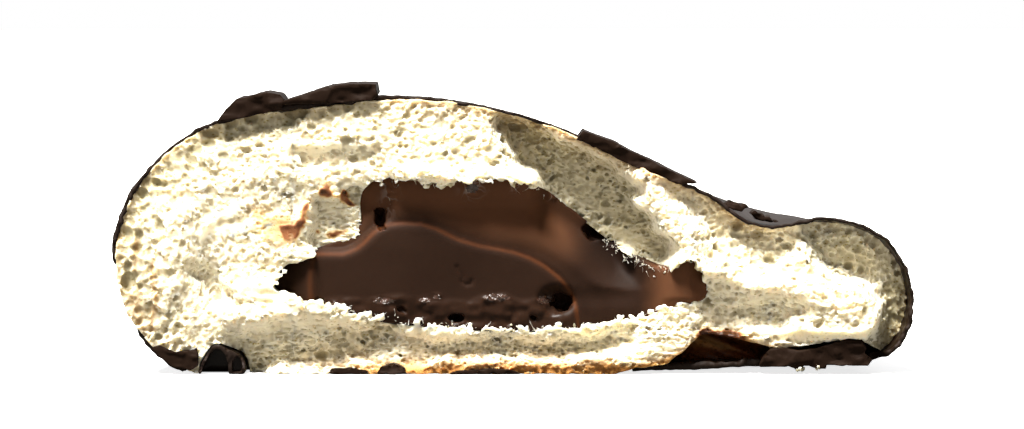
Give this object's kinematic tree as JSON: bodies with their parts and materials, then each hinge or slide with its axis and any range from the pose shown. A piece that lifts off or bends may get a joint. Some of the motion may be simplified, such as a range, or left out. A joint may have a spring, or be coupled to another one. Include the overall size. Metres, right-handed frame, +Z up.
{
  "type": "chocolate cream bun",
  "caption": "Half of a chocolate-coated soft bun, torn across the middle, with a pocket of glossy chocolate cream in open white crumb.",
  "frame": {"origin": "middle of the object's box, on the table under it", "axes": "+Z up, -Y out of the torn face, +X to the right as the torn face is looked at, towards the thin lip"},
  "size_m": [0.1, 0.0534, 0.0364],
  "materials": {
    "crumb": "soft open wheat crumb, pale cream",
    "crust": "thin tan baked skin, matt",
    "cream": "smooth moist chocolate cream, satin gloss",
    "chocolate": "thin dark chocolate coat, satin, broken edges matt"
  },
  "bodies": {
    "root": {"bread": "crumb", "cream_filling": "cream", "chocolate_coating": "chocolate", "shard_top_left": "chocolate", "shard_top_middle": "chocolate", "shard_on_slope": "chocolate", "flake_in_dip_1": "chocolate", "flake_in_dip_2": "chocolate", "plate_under_lip": "chocolate", "chunk_at_foot": "chocolate", "curl_at_foot": "chocolate"}
  },
  "joints": []
}
